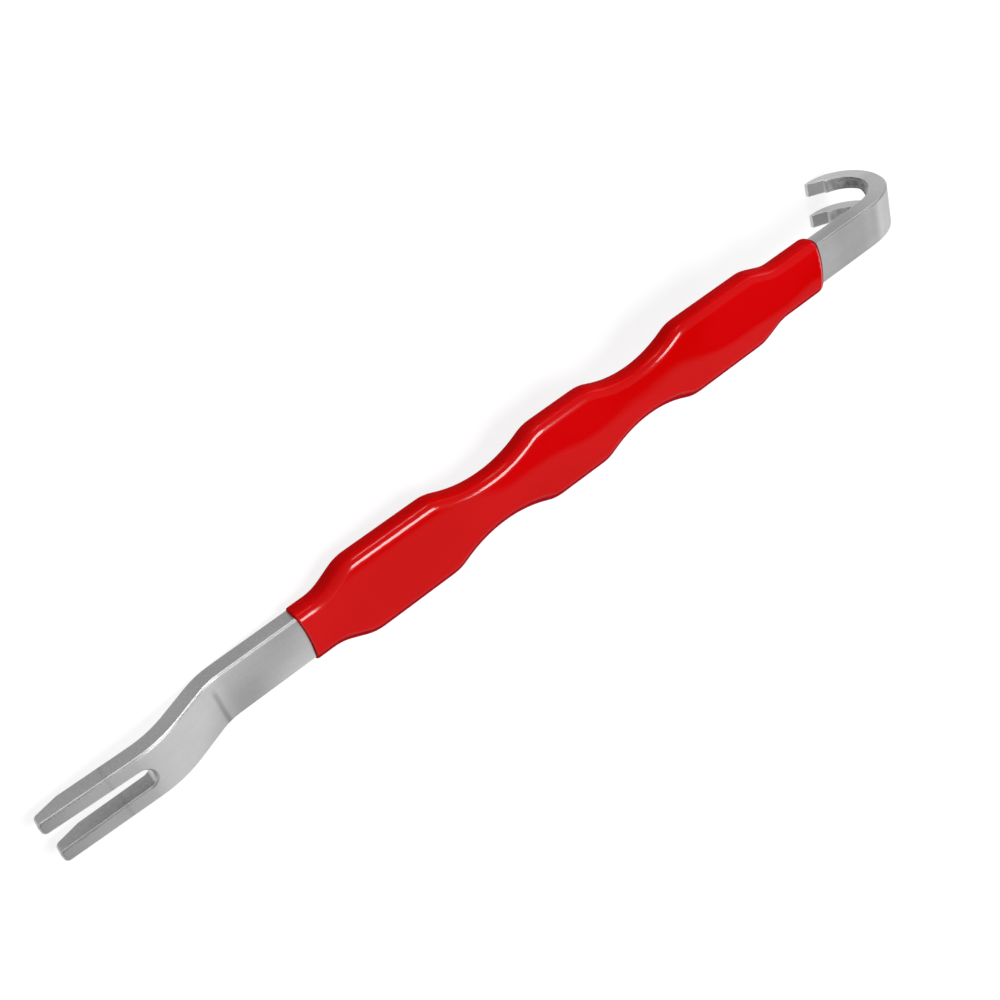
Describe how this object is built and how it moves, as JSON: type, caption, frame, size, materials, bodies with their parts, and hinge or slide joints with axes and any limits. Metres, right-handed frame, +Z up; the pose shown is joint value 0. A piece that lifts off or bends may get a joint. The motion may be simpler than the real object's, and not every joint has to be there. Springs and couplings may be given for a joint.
{
  "type": "terminal removal tool",
  "caption": "Flat steel lever with a slotted lifting fork at one end, a forked hook at the other and a dipped, scalloped grip, for prising out terminals and trim clips.",
  "frame": {"origin": "midway along and across the tool, on the surface it lies on", "axes": "+X from the fork to the hook, +Y across the bar, +Z up; the tool lies on the back of the bend behind its fork and on its two hook tips, front face up"},
  "size_m": [0.191, 0.0152, 0.0182],
  "materials": {
    "steel": "satin, with the stamped edges broken on the front",
    "red_vinyl": "glossy dipped coat"
  },
  "bodies": {
    "root": {"steel_bar": "steel", "red_grip": "red_vinyl"}
  },
  "joints": []
}
